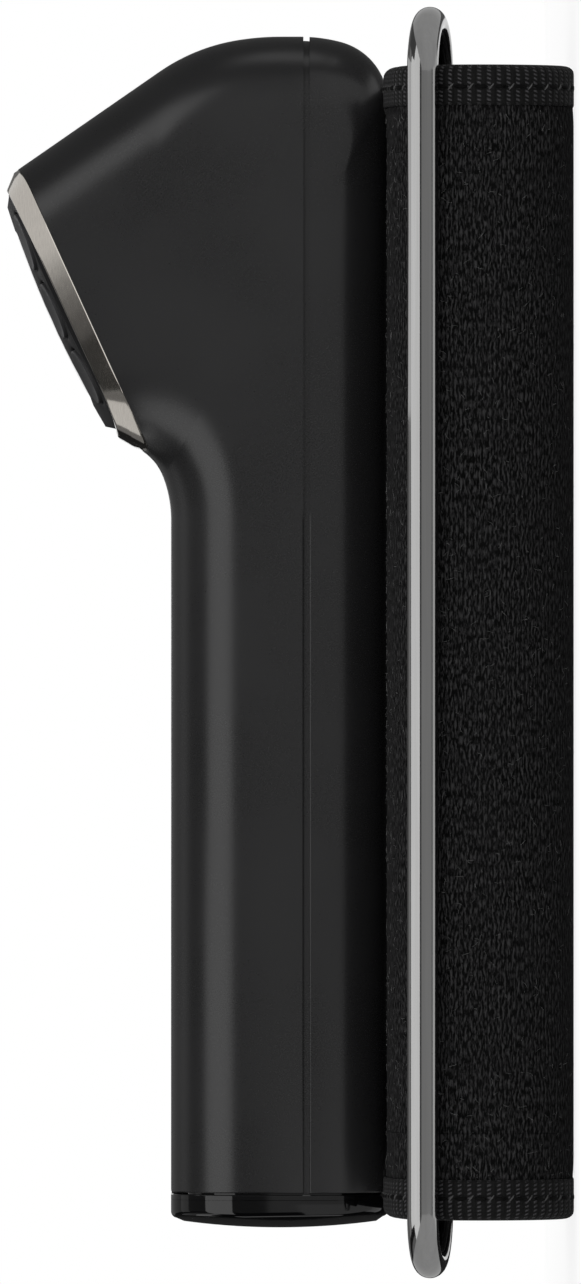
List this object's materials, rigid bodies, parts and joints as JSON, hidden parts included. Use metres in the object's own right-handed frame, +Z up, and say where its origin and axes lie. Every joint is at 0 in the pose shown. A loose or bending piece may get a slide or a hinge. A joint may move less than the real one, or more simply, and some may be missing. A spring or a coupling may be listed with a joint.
{
  "type": "blood pressure monitor",
  "caption": "Upper-arm blood pressure monitor: a handle-shaped body with a tilted display head, three side buttons and a folded fabric cuff threaded through a long metal ring.",
  "frame": {"origin": "centre of the flat back of the folded cuff, on which the monitor lies with its display up", "axes": "+Y along the housing towards its head, +Z up out of the display side, +X towards the side that carries the buttons and the ring"},
  "size_m": [0.1176, 0.1632, 0.0738],
  "materials": {
    "shell_soft_touch": "soft-touch satin black",
    "bezel_metal": "warm polished steel",
    "fascia_black": "satin black",
    "window_smoke": "smoked, clear",
    "lcd": "dark display glass",
    "diffuser": "white, frosted",
    "button_black": "fine satin black",
    "circuit_board": "green solder mask",
    "switch_metal": "bright",
    "chip_black": "matte",
    "sensor_ceramic": "pale ceramic",
    "screw_steel": "zinc plated",
    "motor_steel": "plated can",
    "moulding_white": "natural nylon",
    "band_rubber": "black",
    "hose_silicone": "milky silicone",
    "cage_plastic": "dark grey",
    "cell_jacket": "plain printed sleeve, no marking",
    "contact_metal": "nickel over brass",
    "cap_gloss": "high gloss black",
    "plate_plastic": "matte black",
    "knit_fabric": "brushed loop knit, black",
    "tape_fabric": "woven twill tape, black",
    "bladder_rubber": "grey film",
    "hook_fabric": "moulded hooks, black",
    "ring_nickel": "polished nickel"
  },
  "bodies": {
    "monitor": {"front_shell": "shell_soft_touch", "rear_shell": "shell_soft_touch", "bezel": "bezel_metal", "fascia": "fascia_black", "display_window": "window_smoke", "lcd_panel": "lcd", "light_guide": "diffuser", "main_board": "circuit_board", "key_switches": "switch_metal", "board_chips": "chip_black", "pressure_sensor": "sensor_ceramic", "board_screws": "screw_steel", "pump_motor": "motor_steel", "pump_head": "moulding_white", "pump_band": "band_rubber", "release_valve": "motor_steel", "air_manifold": "moulding_white", "air_hoses": "hose_silicone", "cuff_nozzle": "moulding_white", "battery_cage": "cage_plastic", "battery_cells": "cell_jacket", "cell_springs": "contact_metal", "shell_screws": "screw_steel", "mount_plate": "plate_plastic", "clamp_plate": "plate_plastic", "plate_screws": "screw_steel", "cuff_wrap": "knit_fabric", "air_bladder": "bladder_rubber", "binding_head_end": "tape_fabric", "binding_cap_end": "tape_fabric", "hook_patch": "hook_fabric"},
    "top_button": {"button_top": "button_black"},
    "middle_button": {"button_middle": "button_black"},
    "bottom_button": {"button_bottom": "button_black"},
    "cap": {"battery_cap": "cap_gloss", "cap_contacts": "contact_metal"},
    "ring": {"cuff_ring": "ring_nickel"}
  },
  "joints": [
    {"name": "press_top_button", "type": "slide", "parent": "monitor", "child": "top_button", "axis": [-0.0808, 0.3373, -0.9379], "range_m": [0, 0.0005], "stiffness_N_per_m": 800, "springref_m": -0.0006},
    {"name": "press_middle_button", "type": "slide", "parent": "monitor", "child": "middle_button", "axis": [-0.081, 0.4029, -0.9117], "range_m": [0, 0.0005], "stiffness_N_per_m": 800, "springref_m": -0.0006},
    {"name": "press_bottom_button", "type": "slide", "parent": "monitor", "child": "bottom_button", "axis": [-0.0808, 0.4665, -0.8808], "range_m": [0, 0.0005], "stiffness_N_per_m": 800, "springref_m": -0.0006},
    {"name": "pull_off_cap", "type": "slide", "parent": "monitor", "child": "cap", "axis": [0, -1, 0], "range_m": [0, 0.016]},
    {"name": "swing_ring", "type": "hinge", "parent": "monitor", "child": "ring", "pos_m": [0.0475, 0, 0.0176], "axis": [0, -1, 0], "range_deg": [0, 120]}
  ]
}
